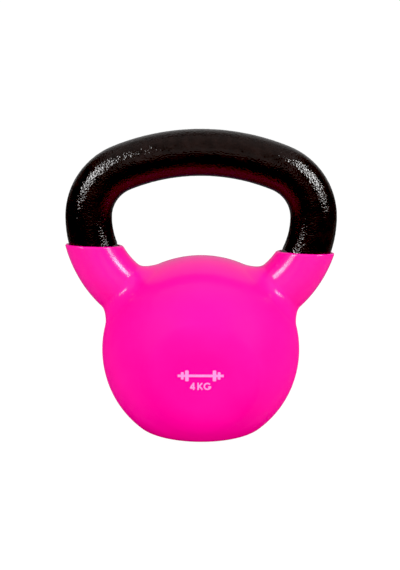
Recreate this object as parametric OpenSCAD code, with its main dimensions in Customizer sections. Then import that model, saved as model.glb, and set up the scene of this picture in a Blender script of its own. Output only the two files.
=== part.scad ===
// Kettlebell, 4 kg: one iron casting, dipped in vinyl up to its horns, with an enamelled handle.
// The origin is the middle of the flat base. +Z is up, X runs along the handle, -Y is the printed front.

/* [Casting] */
// Radius of the iron ball
ball_r = 48.0; // [44:0.1:54]
// Height of the ball's centre above the floor
ball_z = 41.7; // [38:0.1:46]
// How much lower the crown between the horns is than a true sphere
crown_drop = 2.3; // [0.5:0.1:4]
// Distance from the ball's centre to the iron under each printed pad
pad_distance = 42.1; // [40:0.1:46]
// Angle by which each pad looks down at the floor
pad_tilt = 8; // [0:1:14]

/* [Handle] */
// Radius of the iron bar
bar_r = 11.35; // [10.5:0.05:13]
// Half the width of the handle, measured to the middle of the bar
handle_half_w = 56.1; // [54:0.1:60]
// Height at which the handle is widest
widest_z = 109.1; // [107:0.1:111]
// Height of the middle of the bar at its top
bar_top_z = 141.5; // [140:0.1:150]
// Bend radius of the bar at each shoulder
shoulder_r = 26.6; // [24:0.1:28]
// Bend radius of each horn, below the widest point
horn_bend_r = 46.5; // [44:0.1:50]
// How much thicker each horn is where it enters the ball than at its upper end
root_flare = 4.6; // [2:0.1:7]

/* [Coatings] */
// Thickness of the dipped vinyl
coat_t = 1.9; // [1:0.1:3]
// Height of the dip line at the middle of the part
dip_z = 93.5; // [90:0.5:100]
// Angle by which the dip line slopes down towards +X
dip_slope = 1.8; // [0:0.1:3]
// Angle by which the dip line slopes up towards the printed front
dip_pitch = 4; // [0:0.5:5]
// Thickness of the hammertone enamel on the handle
enamel_t = 0.25; // [0.15:0.05:0.5]
// Length of enamelled bar that the vinyl covers
enamel_tuck = 5; // [3:0.5:6]

/* [Print] */
// Thickness of the printed ink
ink_t = 0.12; // [0.08:0.02:0.3]
// Height of the weight mark's figures
figure_h = 3.7; // [2.5:0.1:5]
// Length of the barbell pictogram
pictogram_w = 22; // [16:0.2:26]

/* [Hidden] */
$fn = 96;

reach = 400;                              // longer than the part in any direction
horn_turn = 66;                           // how far each horn bends before it ends inside the ball

// The handle is three tangent arcs a side: horn, shoulder, and half of the shared top arc
shoulder_x = handle_half_w - shoulder_r;
rise = bar_top_z - widest_z;
top_r = (shoulder_x^2 + rise^2 - shoulder_r^2) / (2 * (rise - shoulder_r));
top_half_angle = atan2(shoulder_x, widest_z - bar_top_z + top_r);
lap_angle = 0.4;                          // the top arc runs this far over each shoulder
lap_step = 0.05;                          // and is this much fatter, so that their surfaces cross cleanly

// The cone that thickens a horn's root lies on the chord between these two turns of the horn's arc
flare_top_turn = 34;
flare_root_turn = 74;
flare_top = horn_point(flare_top_turn);
flare_root = horn_point(flare_root_turn);
flare_len = norm(flare_root - flare_top);
flare_lean = atan2(flare_top[0] - flare_root[0], flare_top[1] - flare_root[1]);

// Stroke width and spacing of the printed figures
stroke = figure_h * 0.19;
letter_gap = figure_h * 0.14;
print_gap_z = 5.4;                        // from the pictogram's middle down to the figures' middle
pictogram_z = 3.2;                        // pictogram's middle above the pad's middle

// Middle of the bar after the horn has turned by an angle below the widest point, as [x, z]
function horn_point(turn) = [handle_half_w - horn_bend_r * (1 - cos(turn)),
                             widest_z - horn_bend_r * sin(turn)];

// A round bar or tube of radius r bent along an arc in the XZ plane, with an optional bore
module bent_bar(centre_x, centre_z, bend_r, from, turn, r, bore_r)
    translate([centre_x, 0, centre_z]) rotate([90, 0, 0]) rotate([0, 0, from])
        rotate_extrude(angle = turn) translate([bend_r, 0]) difference() {
            circle(r);
            if (bore_r > 0) circle(bore_r);
        }

module both_sides() { children(); mirror([1, 0, 0]) children(); }

// The bar from one horn's root over the top to the other
module handle_bar(r, bore_r = 0) {
    both_sides() {
        bent_bar(shoulder_x, widest_z, shoulder_r, 0, 90 - top_half_angle, r, bore_r);
        bent_bar(handle_half_w - horn_bend_r, widest_z, horn_bend_r, 0, -horn_turn, r, bore_r);
    }
    bent_bar(0, bar_top_z - top_r, top_r, 90 - top_half_angle - lap_angle,
             2 * (top_half_angle + lap_angle), r + lap_step, bore_r > 0 ? bore_r + lap_step : 0);
}

// The cones that thicken the horns towards the ball
module horn_flares(r)
    both_sides()
        translate([flare_root[0], 0, flare_root[1]]) rotate([0, flare_lean, 0])
            cylinder(h = flare_len, r1 = r + root_flare, r2 = r + 0.05);

// Puts children on the front pad: X right, Y up the pad, Z out of it, from the ball's centre
module pad_frame()
    translate([0, 0, ball_z]) rotate([90 + pad_tilt, 0, 0]) children();

// The ball, grown by a skin of thickness t, with its flat base and its two flat pads
module ball(t) {
    crown_r = ball_r + t + 2 * crown_drop;
    difference() {
        intersection() {
            translate([0, 0, ball_z]) sphere(ball_r + t);
            translate([0, 0, ball_z - 3 * crown_drop]) sphere(crown_r);
        }
        translate([0, 0, coat_t - t - reach / 2]) cube(reach, center = true);
        for (back = [0, 1]) mirror([0, back, 0])
            pad_frame() translate([0, 0, pad_distance + t + reach / 2]) cube(reach, center = true);
    }
}

// The whole form of the casting, grown by a skin of thickness t
module bell(t) {
    ball(t);
    handle_bar(bar_r + t);
    horn_flares(bar_r + t);
}

// Everything below the dip line, moved up or down by an offset
module below_dip(offset_z)
    translate([0, 0, dip_z + offset_z]) rotate([-dip_pitch, dip_slope, 0])
        translate([0, 0, -reach / 2]) cube(reach, center = true);

module iron_casting() { color("dimgray") bell(0); }

module vinyl_coat() {
    color("deeppink") difference() {
        intersection() {
            bell(coat_t);
            below_dip(0);
        }
        bell(0);
        difference() {
            handle_bar(bar_r + enamel_t);
            below_dip(-enamel_tuck);
        }
    }
}

module handle_enamel() {
    color([0.06, 0.05, 0.05]) difference() {
        handle_bar(bar_r + enamel_t, bar_r);
        below_dip(-enamel_tuck);
    }
}

// Prints a flat drawing on the front pad
module printed()
    pad_frame() translate([0, 0, pad_distance + coat_t]) linear_extrude(ink_t) children();

// A straight stroke between two points
module line(from, to) {
    run = to - from;
    translate(from) rotate(atan2(run[1], run[0]))
        translate([0, -stroke / 2]) square([norm(run), stroke]);
}

module figure_four() {
    foot_x = figure_h * 0.44;
    line([foot_x, 0], [foot_x, figure_h]);
    line([0, figure_h * 0.27], [figure_h * 0.62, figure_h * 0.27]);
    line([stroke * 0.1, figure_h * 0.24], [foot_x, figure_h * 0.94]);
}

module letter_k() {
    line([stroke / 2, 0], [stroke / 2, figure_h]);
    line([stroke * 0.6, figure_h * 0.36], [figure_h * 0.62, figure_h * 0.96]);
    line([stroke * 1.3, figure_h * 0.52], [figure_h * 0.66, figure_h * 0.04]);
}

module letter_g() {
    bowl_r = figure_h / 2;
    translate([bowl_r, bowl_r]) {
        difference() {
            circle(bowl_r);
            circle(bowl_r - stroke);
            polygon([[0, 0], [figure_h, 0], [figure_h, figure_h * 0.8]]);
        }
        line([bowl_r * 0.2, -stroke / 2], [bowl_r * 0.99, -stroke / 2]);
    }
}

module weight_mark() {
    four_w = figure_h * 0.62;
    k_w = figure_h * 0.66;
    g_w = figure_h * 0.98;
    word_space = letter_gap * 2.2;
    total_w = four_w + word_space + k_w + letter_gap + g_w;
    color([1, 0.78, 0.93]) printed()
        translate([-total_w / 2, pictogram_z - print_gap_z - figure_h / 2]) {
            figure_four();
            translate([four_w + word_space, 0]) letter_k();
            translate([four_w + word_space + k_w + letter_gap, 0]) letter_g();
        }
}

// A plate of the barbell, an upright rectangle with rounded corners
module plate(w, h) {
    corner_r = w * 0.3;
    hull() for (x = [-1, 1], y = [-1, 1])
        translate([x * (w / 2 - corner_r), y * (h / 2 - corner_r)]) circle(corner_r, $fn = 24);
}

module barbell_pictogram() {
    big_plate_h = pictogram_w * 0.25;
    color([1, 0.78, 0.93]) printed() translate([0, pictogram_z]) {
        square([pictogram_w, big_plate_h * 0.22], center = true);
        for (side = [-1, 1]) {
            translate([side * pictogram_w * 0.3, 0]) plate(pictogram_w * 0.075, big_plate_h);
            translate([side * pictogram_w * 0.4, 0]) plate(pictogram_w * 0.06, big_plate_h * 0.68);
        }
    }
}

iron_casting();
vinyl_coat();
handle_enamel();
weight_mark();
barbell_pictogram();
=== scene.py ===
"""A 4 kg kettlebell: an iron casting with an enamelled handle, dipped in hot-pink vinyl up to its horns.

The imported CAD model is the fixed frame. Its casting, vinyl coat and enamel film are replaced here by
finely meshed pieces of the same size, and its printed ink stays. Lengths are in millimetres inside the
form functions, as in the part's own source, and become metres when a mesh is made.
"""

import math

import bpy
import numpy as np
from mathutils import Euler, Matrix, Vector, noise


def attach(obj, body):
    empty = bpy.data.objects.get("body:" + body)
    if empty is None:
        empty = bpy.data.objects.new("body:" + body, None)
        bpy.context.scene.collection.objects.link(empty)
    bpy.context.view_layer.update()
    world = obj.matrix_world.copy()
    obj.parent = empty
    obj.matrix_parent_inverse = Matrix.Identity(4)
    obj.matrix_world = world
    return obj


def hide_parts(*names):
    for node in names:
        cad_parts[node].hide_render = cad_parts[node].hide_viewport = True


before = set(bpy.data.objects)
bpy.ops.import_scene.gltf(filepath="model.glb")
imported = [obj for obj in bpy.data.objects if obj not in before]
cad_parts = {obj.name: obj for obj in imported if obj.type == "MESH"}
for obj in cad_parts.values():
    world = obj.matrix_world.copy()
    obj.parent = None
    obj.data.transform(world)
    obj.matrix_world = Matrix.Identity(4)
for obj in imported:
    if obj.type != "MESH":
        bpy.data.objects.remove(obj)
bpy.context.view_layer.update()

MM = 0.001

# The casting and the handle, as the part's source has them
BALL_R = 48.0
BALL_Z = 41.7
CROWN_DROP = 2.3
PAD_DISTANCE = 42.1
PAD_TILT = math.radians(8)
BAR_R = 11.35
HANDLE_HALF_W = 56.1
WIDEST_Z = 109.1
BAR_TOP_Z = 141.5
SHOULDER_R = 26.6
HORN_BEND_R = 46.5

# The coatings
COAT_T = 1.9
ENAMEL_T = 0.25
ENAMEL_TUCK = 3.5  # under the lips, where the CAD film runs on a little further
DIP_Z = 93.5
DIP_SLOPE = math.radians(1.8)
DIP_PITCH = math.radians(4)

# Roundings that the CAD solids leave sharp, and the flare of the horns
JOIN_R = 6.7  # fillet between ball and horns, on the iron's skin of vinyl
PAD_EDGE_R = 3.5
BASE_EDGE_R = 3.0
CROWN_EDGE_R = 1.0
LIP_R = 0.9
BORE_EDGE_R = 0.2
HORN_FLARE = 0.6  # how much each horn thickens on its way down
FLARE_FROM, FLARE_TO = math.radians(15), math.radians(60)
HORN_END = math.radians(66)
CORE_GAP = 0.02  # between the casting's mesh and the coatings around it
SAG = 0.02  # depth of each of the two slow waves in the dipped skin

# Mesh sizes
COAT_STEP = 0.9
CORE_STEP = 1.4
FILM_STEP = 0.36
FILM_AROUND = 208
BORE_SKIP = 4  # the film's plain bore has a ring for every so many outside
FILM_TURN = math.radians(40)  # the film's line starts this far down each horn, before the tuck ends it
SETTLE_ROUNDS = 5

# The hammered grain of the enamel
DIMPLE = 1.15
DIMPLE_RISE = 0.11
DIMPLE_LEVEL = 0.35  # keeps the domes' average height at the even film
SWIRL_SIZE, SWIRL = 2.1, 0.5
FINE_SIZE, FINE_RISE = 0.6, 0.03
GRAIN_START = 1.5  # depth under each lip at which the grain starts; it is full 1 mm higher

# Share of a noise pattern's range that the materials use
NOISE_LOW, NOISE_HIGH = 0.3, 0.7

# The vinyl's gloss: none on the ball, then a glossy coat that grows towards the dip line
SATIN_BELOW, GLOSSY_ABOVE = 68.0, 90.0
GLOSS_DIP = 5.0  # in metres of height per square metre
GLOSS = 0.6
GLOSS_ROUGHNESS = 0.17
SATIN_LEVEL = 0.03

# Depths of the bumps, in metres
PORE_DEPTH = 0.000002
GRAIN_DEPTH = 0.00012
SAND_DEPTH = 0.0003
INK_DEPTH = 0.00002

# The camera; its place is in millimetres and its angles are in radians
CAMERA_AT = (-0.46, -716.8, 208.2)
CAMERA_DOWN, CAMERA_ROLL = 0.1841, 0.003
SENSOR, LENS = 36, 130.365

# The studio; its lengths are in metres
FLOOR_SIDE = 40.0  # from the middle to each edge
LIGHT_DISTANCE = 1.5
FLOOR_WHITE, WORLD_WHITE = 1.1, 1.05  # what the camera sees of each, just past white
SHADOW_HIDDEN = 0.9  # share of the floor's shading that overexposure hides from the camera
FLOOR_REFLECTION_PAINTED_SHADE = 0.75  # share of the floor's light that glossy rays see as black, a painted shade in the floor's reflections
BLACK_LEVEL = 0.02
ROOM = 0.16  # radiance of the dim room around the lights
BACKDROP = 0.50
LIGHTS = (  # name, azimuth, elevation, width, height, radiance
    ("key_right", 61, 34, 15, 15, 24),
    ("fill_right", 60, 19.5, 15, 14, 11),
    ("key_left", -50, 34, 15, 17, 18),
    ("fill_left", -49, 19, 15, 13, 10),
    ("overhead", 0, 75, 90, 60, 0.4),
    ("front", 0, 22, 50, 40, 0.45),
)

# The handle's arcs, worked out as the part's source does
SHOULDER_X = HANDLE_HALF_W - SHOULDER_R
RISE = BAR_TOP_Z - WIDEST_Z
TOP_R = (SHOULDER_X**2 + RISE**2 - SHOULDER_R**2) / (2 * (RISE - SHOULDER_R))
TOP_HALF_ANGLE = math.atan2(SHOULDER_X, TOP_R - RISE)


# ---------------------------------------------------------------- the form, as distance functions


def round_union(a, b, r):
    """Joins two distance fields with a fillet of radius r."""
    return np.maximum(r, np.minimum(a, b)) - np.hypot(np.maximum(r - a, 0), np.maximum(r - b, 0))


def round_cut(a, b, r):
    """Keeps what is inside both distance fields, with the edge rounded to radius r."""
    return np.minimum(-r, np.maximum(a, b)) + np.hypot(np.maximum(r + a, 0), np.maximum(r + b, 0))


def arc_distance(x, y, z, centre, bend_r, low, high):
    """Distance to an arc in the XZ plane, and the angle of its nearest point."""
    angle = np.clip(np.arctan2(z - centre[1], x - centre[0]), low, high)
    near_x, near_z = centre[0] + bend_r * np.cos(angle), centre[1] + bend_r * np.sin(angle)
    return np.sqrt((x - near_x) ** 2 + (z - near_z) ** 2 + y**2), angle


def bar_distance(p):
    """Distance to the middle line of the handle, and how far down its horn the nearest point is."""
    x, y, z = np.abs(p[..., 0]), p[..., 1], p[..., 2]
    quarter = math.pi / 2
    horn_centre = (HANDLE_HALF_W - HORN_BEND_R, WIDEST_Z)
    top, _ = arc_distance(x, y, z, (0, BAR_TOP_Z - TOP_R), TOP_R, quarter - TOP_HALF_ANGLE, quarter)
    shoulder, _ = arc_distance(x, y, z, (SHOULDER_X, WIDEST_Z), SHOULDER_R, 0, quarter - TOP_HALF_ANGLE)
    horn, turn = arc_distance(x, y, z, horn_centre, HORN_BEND_R, -HORN_END, 0)
    return np.minimum(np.minimum(top, shoulder), horn), -turn


def ball_distance(p, skin):
    """The ball with its lowered crown, two flat pads and flat base, grown by a skin."""
    x, y, z = p[..., 0], p[..., 1], p[..., 2] - BALL_Z
    sphere = np.sqrt(x**2 + y**2 + z**2) - (BALL_R + skin)
    crown = np.sqrt(x**2 + y**2 + (z + 3 * CROWN_DROP) ** 2) - (BALL_R + skin + 2 * CROWN_DROP)
    pad = np.abs(y) * math.cos(PAD_TILT) - z * math.sin(PAD_TILT) - (PAD_DISTANCE + skin)
    base = (COAT_T - skin) - p[..., 2]
    ball = round_cut(sphere, crown, CROWN_EDGE_R)
    ball = round_cut(ball, pad, PAD_EDGE_R)
    return round_cut(ball, base, BASE_EDGE_R)


def bell_distance(p, ball_skin, bar_skin):
    """The whole casting, with its ball and its bar grown by skins of their own."""
    line, turn = bar_distance(p)
    t = np.clip((turn - FLARE_FROM) / (FLARE_TO - FLARE_FROM), 0, 1)
    bar = line - (BAR_R + bar_skin + HORN_FLARE * t * t * (3 - 2 * t))
    return round_union(ball_distance(p, ball_skin), bar, JOIN_R + COAT_T - ball_skin)


def above_dip(p):
    """Height above the sloping dip plane, whose normal the part's source turns by pitch and then slope."""
    upright = math.cos(DIP_PITCH)
    normal = (upright * math.sin(DIP_SLOPE), math.sin(DIP_PITCH), upright * math.cos(DIP_SLOPE))
    return p[..., 0] * normal[0] + p[..., 1] * normal[1] + (p[..., 2] - DIP_Z) * normal[2]


def coat_distance(p):
    """The vinyl: a shell around the casting that ends in a rounded lip at the dip line."""
    outside = bell_distance(p, COAT_T, ENAMEL_T + COAT_T) - sag(p)
    inside = bell_distance(p, 0, ENAMEL_T)
    return round_cut(round_cut(outside, -inside, BORE_EDGE_R), above_dip(p), LIP_R)


def sag(p):
    """The dipped skin's slow unevenness, a few hundredths of a millimetre."""
    x, y, z = p[..., 0], p[..., 1], p[..., 2]
    waves = np.sin(x / 7.3 + 1.1 * np.sin(z / 9.1)) + np.sin(z / 8.2 + 1.3 * np.sin(y / 6.7 + 2))
    return SAG * waves


def casting_distance(p):
    """The iron under the coatings, a hair smaller than their bore."""
    return bell_distance(p, -CORE_GAP, -CORE_GAP)


# ---------------------------------------------------------------- meshing


def surface_net(distance, low, high, step):
    """Quads on the zero surface of a distance function: one vertex a crossed cell, moved onto the surface."""
    axes = [np.arange(a - step, b + 2 * step, step) for a, b in zip(low, high)]
    grid = np.stack(np.meshgrid(*axes, indexing="ij"), axis=-1)
    inside = distance(grid) < 0
    counts = np.zeros([n - 1 for n in inside.shape], np.int8)
    for i in (0, 1):
        for j in (0, 1):
            for k in (0, 1):
                counts += inside[i : i + counts.shape[0], j : j + counts.shape[1], k : k + counts.shape[2]]
    cells = (counts > 0) & (counts < 8)
    index = np.full(cells.shape, -1, np.int64)
    index[cells] = np.arange(cells.sum())
    points = grid[:-1, :-1, :-1][cells] + step / 2
    quads = []
    for axis in range(3):
        quads.append(net_quads(inside, index, axis))
    return settle(distance, points, step), np.vstack(quads)


def net_quads(inside, index, axis):
    """The quads around the grid edges along one axis whose two ends lie on different sides of the surface."""
    near = np.moveaxis(inside, axis, 0)
    cell = np.moveaxis(index, axis, 0)
    a, b = near[:-1, 1:-1, 1:-1], near[1:, 1:-1, 1:-1]
    ring = [cell[:, :-1, :-1], cell[:, 1:, :-1], cell[:, 1:, 1:], cell[:, :-1, 1:]]
    crossing = a != b
    quads = np.stack([r[crossing] for r in ring], axis=-1)
    flip = b[crossing] if axis != 1 else a[crossing]
    quads[flip] = quads[flip][:, ::-1]
    return quads


def gradient(distance, points, reach=0.05):
    """The surface's outward direction at each point."""
    out = np.empty_like(points)
    for axis in range(3):
        offset = np.zeros(3)
        offset[axis] = reach
        out[:, axis] = distance(points + offset) - distance(points - offset)
    return out / np.maximum(np.linalg.norm(out, axis=1, keepdims=True), 1e-9)


def settle(distance, points, step):
    """Moves points onto the zero surface, never by more than about a cell."""
    for _ in range(SETTLE_ROUNDS):
        move = np.clip(distance(points), -step / 2, step / 2)
        points = points - gradient(distance, points) * move[:, None]
    return points


def make_piece(name, points, faces, normals=None):
    """A smooth-shaded mesh object from points in millimetres."""
    mesh = bpy.data.meshes.new(name)
    mesh.from_pydata((np.asarray(points) * MM).tolist(), [], np.asarray(faces).tolist())
    mesh.polygons.foreach_set("use_smooth", [True] * len(mesh.polygons))
    mesh.update()
    if normals is not None:
        mesh.normals_split_custom_set_from_vertices(normals.tolist())
    piece = bpy.data.objects.new(name, mesh)
    bpy.context.collection.objects.link(piece)
    return piece


def net_piece(name, distance, low, high, step):
    """A mesh object on the zero surface of a distance function."""
    points, quads = surface_net(distance, low, high, step)
    return make_piece(name, points, quads, gradient(distance, points))


# ---------------------------------------------------------------- pieces


def make_coat():
    """The vinyl skin, with its fillets and its rounded lips."""
    reach = BALL_R + COAT_T
    width = HANDLE_HALF_W + BAR_R + COAT_T + ENAMEL_T + 1
    low, high = (-width, -reach, 0), (width, reach, DIP_Z + 3)
    return net_piece("vinyl_coat_skin", coat_distance, low, high, COAT_STEP)


def make_casting():
    """The iron inside the coatings."""
    low = (-HANDLE_HALF_W - BAR_R, -BALL_R, COAT_T)
    high = (HANDLE_HALF_W + BAR_R, BALL_R, BAR_TOP_Z + BAR_R)
    return net_piece("iron_core", casting_distance, low, high, CORE_STEP)


def handle_line():
    """Points along the bar's middle line, from one horn over the top to the other, with their directions."""
    stretches = [
        ((HANDLE_HALF_W - HORN_BEND_R, WIDEST_Z), HORN_BEND_R, -FILM_TURN, 0),
        ((SHOULDER_X, WIDEST_Z), SHOULDER_R, 0, math.pi / 2 - TOP_HALF_ANGLE),
        ((0, BAR_TOP_Z - TOP_R), TOP_R, math.pi / 2 - TOP_HALF_ANGLE, math.pi / 2),
    ]
    line = []
    for (cx, cz), bend_r, start, end in stretches:
        count = round(bend_r * (end - start) / FILM_STEP)
        for i in range(count):
            angle = start + (end - start) * i / count
            line.append((cx + bend_r * math.cos(angle), cz + bend_r * math.sin(angle), angle))
    left = [(-x, z, math.pi - angle) for x, z, angle in line]
    return line + [(0, BAR_TOP_Z, math.pi / 2)] + left[::-1]


def hammertone(p):
    """Height of the enamel's hammered grain over its even film: small domes, a little uneven."""
    swirl = noise.noise_vector(Vector(p) / SWIRL_SIZE) * SWIRL
    near = noise.voronoi(Vector(p) / DIMPLE + swirl)[0][0]
    fine = noise.noise(Vector(p) / FINE_SIZE + Vector((3, 29, 11)))
    return DIMPLE_RISE * (DIMPLE_LEVEL - near * near) + FINE_RISE * fine


def ring(x, z, angle, r):
    """The points of one ring of the tube round the bar's middle line, with their outward directions."""
    points, normals = [], []
    for i in range(FILM_AROUND):
        a = 2 * math.pi * i / FILM_AROUND
        n = (math.cos(a) * math.cos(angle), math.sin(a), math.cos(a) * math.sin(angle))
        points.append([c + r * m for c, m in zip((x, 0, z), n)])
        normals.append(n)
    return points, normals


def hammered(point, normal):
    """Moves a point of the even film out onto its grain."""
    lip = above_dip(np.array(point))
    height = hammertone(point) * min(1, max(0, lip + GRAIN_START))
    return [c + height * m for c, m in zip(point, normal)]


def make_enamel():
    """The film on the bare handle: a tube with an even bore and a hammered outside, tucked under the lips."""
    line = [q for q in handle_line() if above_dip(np.array((q[0], 0, q[1]))) > -ENAMEL_TUCK]
    bore_line = line[::BORE_SKIP] + line[-1:]
    outer, inner = [], []
    for x, z, angle in line:
        points, normals = ring(x, z, angle, BAR_R + ENAMEL_T)
        outer += [hammered(p, n) for p, n in zip(points, normals)]
    for x, z, angle in bore_line:
        inner += ring(x, z, angle, BAR_R)[0]
    first_in = len(outer)
    last_out, last_in = first_in - FILM_AROUND, first_in + len(inner) - FILM_AROUND
    faces = tube_faces(len(line), 0, False) + tube_faces(len(bore_line), first_in, True)
    faces += band_faces(0, first_in, True) + band_faces(last_out, last_in, False)
    return make_piece("handle_enamel_film", outer + inner, faces)


def band_faces(a, b, flip):
    """The quads between two rings, given the first vertex of each."""
    faces = []
    for i in range(FILM_AROUND):
        j = (i + 1) % FILM_AROUND
        q = [a + i, a + j, b + j, b + i]
        faces.append(q[::-1] if flip else q)
    return faces


def tube_faces(rings, first, flip):
    """The quads of an open tube of rings, given its first vertex."""
    faces = []
    for start in range(first, first + (rings - 1) * FILM_AROUND, FILM_AROUND):
        faces += band_faces(start, start + FILM_AROUND, flip)
    return faces


# ---------------------------------------------------------------- materials


def new_material(name):
    """A material with one Principled shader."""
    material = bpy.data.materials.new(name)
    material.use_nodes = True
    nodes = material.node_tree.nodes
    nodes.clear()
    out = nodes.new("ShaderNodeOutputMaterial")
    shader = nodes.new("ShaderNodeBsdfPrincipled")
    material.node_tree.links.new(shader.outputs["BSDF"], out.inputs["Surface"])
    return material, shader


def add_node(owner, kind, **values):
    """A node of a material or a world, with its inputs set by name."""
    node = owner.node_tree.nodes.new(kind)
    for name, value in values.items():
        node.inputs[name.replace("_", " ")].default_value = value
    return node


def link(owner, source, target):
    owner.node_tree.links.new(source, target)


def grain(material, scale, detail, roughness=0.5):
    """A noise pattern fixed to the object, with its scale in features a metre."""
    place = material.node_tree.nodes.new("ShaderNodeTexCoord")
    node = add_node(material, "ShaderNodeTexNoise", Scale=scale, Detail=detail, Roughness=roughness)
    link(material, place.outputs["Object"], node.inputs["Vector"])
    return node.outputs["Fac"]


def spread(material, pattern, low, high):
    """Maps the useful range of a noise pattern to a range of values."""
    node = add_node(
        material, "ShaderNodeMapRange", From_Min=NOISE_LOW, From_Max=NOISE_HIGH, To_Min=low, To_Max=high
    )
    link(material, pattern, node.inputs["Value"])
    return node.outputs["Result"]


def blend_colours(material, pattern, low, high):
    """A colour that follows a noise pattern between two colours."""
    node = material.node_tree.nodes.new("ShaderNodeValToRGB")
    for stop, position, colour in zip(node.color_ramp.elements, (NOISE_LOW, NOISE_HIGH), (low, high)):
        stop.position = position
        stop.color = (*colour, 1)
    link(material, pattern, node.inputs["Fac"])
    return node.outputs["Color"]


def add_bump(material, shader, pattern, depth):
    """Fine relief of the given depth in metres."""
    bump = add_node(material, "ShaderNodeBump", Strength=1, Distance=depth)
    link(material, pattern, bump.inputs["Height"])
    link(material, bump.outputs["Normal"], shader.inputs["Normal"])


def calculate(owner, operation, *values):
    """One sum or product of numbers and node outputs."""
    node = owner.node_tree.nodes.new("ShaderNodeMath")
    node.operation = operation
    for socket, value in zip(node.inputs, values):
        if isinstance(value, (int, float)):
            socket.default_value = value
        else:
            link(owner, value, socket)
    return node.outputs["Value"]


def ramp(owner, source, from_low, from_high, low, high):
    """A smooth step of one number from low to high."""
    node = add_node(
        owner, "ShaderNodeMapRange", From_Min=from_low, From_Max=from_high, To_Min=low, To_Max=high
    )
    node.interpolation_type = "SMOOTHSTEP"
    link(owner, source, node.inputs["Value"])
    return node.outputs["Result"]


def coordinates(owner, kind):
    """The X, Y and Z of a kind of texture coordinate."""
    place, split = (owner.node_tree.nodes.new(k) for k in ("ShaderNodeTexCoord", "ShaderNodeSeparateXYZ"))
    link(owner, place.outputs[kind], split.inputs["Vector"])
    return split.outputs["X"], split.outputs["Y"], split.outputs["Z"]


def vinyl_material():
    """Hot pink, satin on the ball and glossy from its crown up over the horns."""
    material, shader = new_material("dipped_vinyl")
    mottle, smears, pores = grain(material, 55, 4), grain(material, 90, 5), grain(material, 1500, 3)
    colour = blend_colours(material, mottle, (0.94, 0.0185, 0.33), (0.96, 0.0205, 0.35))
    link(material, colour, shader.inputs["Base Color"])
    link(material, spread(material, smears, 0.48, 0.54), shader.inputs["Roughness"])
    link(material, glossiness(material), shader.inputs["Coat Weight"])
    shader.inputs["Specular IOR Level"].default_value = SATIN_LEVEL
    shader.inputs["Coat Roughness"].default_value = GLOSS_ROUGHNESS
    add_bump(material, shader, pores, PORE_DEPTH)
    return material


def glossiness(material):
    """0 on the satin ball and GLOSS on the crown and the horns. It goes by height plus a term in the square
    of the distance from the middle, so that the soft edge between them dips towards each horn."""
    x, _, z = coordinates(material, "Object")
    square = calculate(material, "MULTIPLY", x, x)
    height = calculate(material, "MULTIPLY_ADD", square, GLOSS_DIP, z)
    return ramp(material, height, SATIN_BELOW * MM, GLOSSY_ABOVE * MM, 0, GLOSS)


def enamel_material():
    """Near-black hammertone. Its larger domes are in the mesh, and its smaller ones are here."""
    material, shader = new_material("black_hammertone")
    place = material.node_tree.nodes.new("ShaderNodeTexCoord")
    domes = add_node(material, "ShaderNodeTexVoronoi", Scale=1250)
    link(material, place.outputs["Object"], domes.inputs["Vector"])
    patches = grain(material, 240, 4)
    colour = blend_colours(material, patches, (0.005, 0.0025, 0.002), (0.012, 0.006, 0.005))
    link(material, colour, shader.inputs["Base Color"])
    link(material, spread(material, patches, 0.07, 0.15), shader.inputs["Roughness"])
    add_bump(material, shader, domes.outputs["Distance"], GRAIN_DEPTH)
    return material


def iron_material():
    """Grey iron as cast, which the coatings hide."""
    material, shader = new_material("raw_cast_iron")
    sand, stain = grain(material, 900, 6, 0.7), grain(material, 60, 5)
    colour = blend_colours(material, stain, (0.10, 0.095, 0.09), (0.20, 0.19, 0.18))
    link(material, colour, shader.inputs["Base Color"])
    link(material, spread(material, sand, 0.55, 0.8), shader.inputs["Roughness"])
    shader.inputs["Metallic"].default_value = 0.8
    add_bump(material, shader, sand, SAND_DEPTH)
    return material


def ink_material():
    """Pale pink screen print, a little uneven."""
    material, shader = new_material("screen_ink")
    cover = grain(material, 700, 4)
    colour = blend_colours(material, cover, (0.93, 0.28, 0.70), (0.96, 0.35, 0.78))
    link(material, colour, shader.inputs["Base Color"])
    link(material, spread(material, cover, 0.4, 0.55), shader.inputs["Roughness"])
    add_bump(material, shader, cover, INK_DEPTH)
    return material


def floor_material():
    """Pale and matt. The camera sees it overexposed to white with a trace of the shadow.
    Glossy rays see most of it as black, a painted shade that dims its reflections in glossy surfaces."""
    material, shader = new_material("pale_floor")
    colour = blend_colours(material, grain(material, 3, 3), (0.67, 0.67, 0.67), (0.70, 0.70, 0.70))
    link(material, colour, shader.inputs["Base Color"])
    shader.inputs["Roughness"].default_value = 0.9
    shader.inputs["Specular IOR Level"].default_value = 0.1
    rays = material.node_tree.nodes.new("ShaderNodeLightPath").outputs
    surface = shader.outputs["BSDF"]
    surface = override_light(material, rays["Is Camera Ray"], surface, FLOOR_WHITE, SHADOW_HIDDEN)
    # Painted shade in reflections: for glossy rays most of the floor's light becomes black, from an emission
    # of strength 0
    surface = override_light(material, rays["Is Glossy Ray"], surface, 0, FLOOR_REFLECTION_PAINTED_SHADE)
    link(material, surface, material.node_tree.nodes["Material Output"].inputs["Surface"])
    return material


def override_light(material, ray_kind, surface, strength, share):
    """Swaps a share of a surface's light for an even white of the given strength, for one kind of ray."""
    even = add_node(material, "ShaderNodeEmission", Color=(1, 1, 1, 1), Strength=strength)
    mix = add_node(material, "ShaderNodeMixShader")
    link(material, calculate(material, "MULTIPLY", ray_kind, share), mix.inputs["Fac"])
    link(material, surface, mix.inputs[1])
    link(material, even.outputs["Emission"], mix.inputs[2])
    return mix.outputs["Shader"]


# ---------------------------------------------------------------- camera, floor and light


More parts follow.
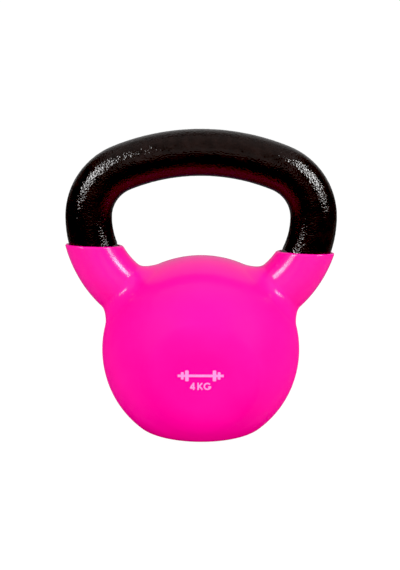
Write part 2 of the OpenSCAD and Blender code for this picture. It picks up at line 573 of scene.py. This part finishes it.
def make_camera():
    """Stands in front of the print and a little above the handle, looking slightly down."""
    camera = bpy.data.objects.new("camera", bpy.data.cameras.new("camera"))
    bpy.context.collection.objects.link(camera)
    camera.location = Vector(CAMERA_AT) * MM
    camera.rotation_euler = Euler((math.pi / 2 - CAMERA_DOWN, 0, 0))
    camera.rotation_euler.rotate_axis("Z", CAMERA_ROLL)
    camera.data.sensor_fit = "HORIZONTAL"
    camera.data.sensor_width = SENSOR
    camera.data.lens = LENS
    camera.data.clip_start, camera.data.clip_end = 0.01, 50
    bpy.context.scene.camera = camera


def make_floor():
    """A plain floor that runs far past the view."""
    mesh = bpy.data.meshes.new("floor")
    corners = [(x * FLOOR_SIDE, y * FLOOR_SIDE, 0) for x, y in ((-1, -1), (1, -1), (1, 1), (-1, 1))]
    mesh.from_pydata(corners, [], [(0, 1, 2, 3)])
    floor = bpy.data.objects.new("floor", mesh)
    bpy.context.collection.objects.link(floor)
    mesh.materials.append(floor_material())


def softbox(name, azimuth, elevation, width, height, radiance):
    """A soft light in a direction from the kettlebell, with all angles in degrees. Azimuth 0 is towards the
    camera and grows to the right. Width and height are the angles that the light fills."""
    sides = [2 * LIGHT_DISTANCE * math.tan(math.radians(angle / 2)) for angle in (width, height)]
    light = bpy.data.lights.new(name, "AREA")
    light.shape, light.size, light.size_y = "RECTANGLE", *sides
    light.energy = radiance * math.pi * sides[0] * sides[1]
    lamp = bpy.data.objects.new(name, light)
    bpy.context.collection.objects.link(lamp)
    az, el = math.radians(azimuth), math.radians(elevation)
    away = Vector((math.sin(az) * math.cos(el), -math.cos(az) * math.cos(el), math.sin(el)))
    lamp.location = Vector((0, 0, BALL_Z * MM)) + away * LIGHT_DISTANCE
    lamp.rotation_euler = away.to_track_quat("Z", "Y").to_euler()


def make_world():
    """White to the camera. As light it is dim, with a bright backdrop that ends 64 degrees up behind."""
    world = bpy.data.worlds.new("studio")
    bpy.context.scene.world = world
    world.use_nodes = True
    world.node_tree.nodes.clear()
    seen = add_node(world, "ShaderNodeBackground", Color=(1, 1, 1, 1), Strength=WORLD_WHITE)
    lit = add_node(world, "ShaderNodeBackground", Color=(1, 1, 1, 1))
    mix, path = add_node(world, "ShaderNodeMixShader"), add_node(world, "ShaderNodeLightPath")
    out = add_node(world, "ShaderNodeOutputWorld")
    link(world, world_light(world), lit.inputs["Strength"])
    link(world, path.outputs["Is Camera Ray"], mix.inputs["Fac"])
    link(world, lit.outputs["Background"], mix.inputs[1])
    link(world, seen.outputs["Background"], mix.inputs[2])
    link(world, mix.outputs["Shader"], out.inputs["Surface"])


def world_light(world):
    """The room's radiance in each direction: the backdrop stands behind, and fades out above and aside."""
    x, y, z = coordinates(world, "Generated")
    behind = ramp(world, y, 0.1, 0.35, 0, BACKDROP - ROOM)
    under_top = ramp(world, z, 0.88, 0.90, 1, 0)
    near_middle = ramp(world, calculate(world, "MULTIPLY", x, x), 0.14, 0.32, 1, 0)
    backdrop = calculate(world, "MULTIPLY", calculate(world, "MULTIPLY", behind, under_top), near_middle)
    return calculate(world, "ADD", backdrop, ROOM)


def make_lights():
    make_world()
    for light in LIGHTS:
        softbox(*light)


def set_exposure():
    """A plain transform, with the blacks set a little deeper as a catalogue picture has them."""
    view = bpy.context.scene.view_settings
    view.view_transform = "Standard"
    view.use_curve_mapping = True
    view.curve_mapping.black_level = (BLACK_LEVEL,) * 3
    view.curve_mapping.update()


# ---------------------------------------------------------------- assembly


def place(piece, slot, material, *nodes):
    """Gives a piece its material and puts it on the model's one body."""
    piece.data.materials.clear()
    piece.data.materials.append(material)
    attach(piece, "root")
    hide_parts(*nodes)


def repaint(node, material):
    """Gives a CAD node that stays in view a better material."""
    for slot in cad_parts[node].material_slots:
        slot.material = material


make_camera()
make_floor()
make_lights()
set_exposure()

place(make_coat(), "vinyl", vinyl_material(), "vinyl_coat")
place(make_casting(), "iron", iron_material(), "iron_casting")
place(make_enamel(), "enamel", enamel_material(), "handle_enamel")
ink = ink_material()
repaint("weight_mark", ink)
repaint("barbell_pictogram", ink)
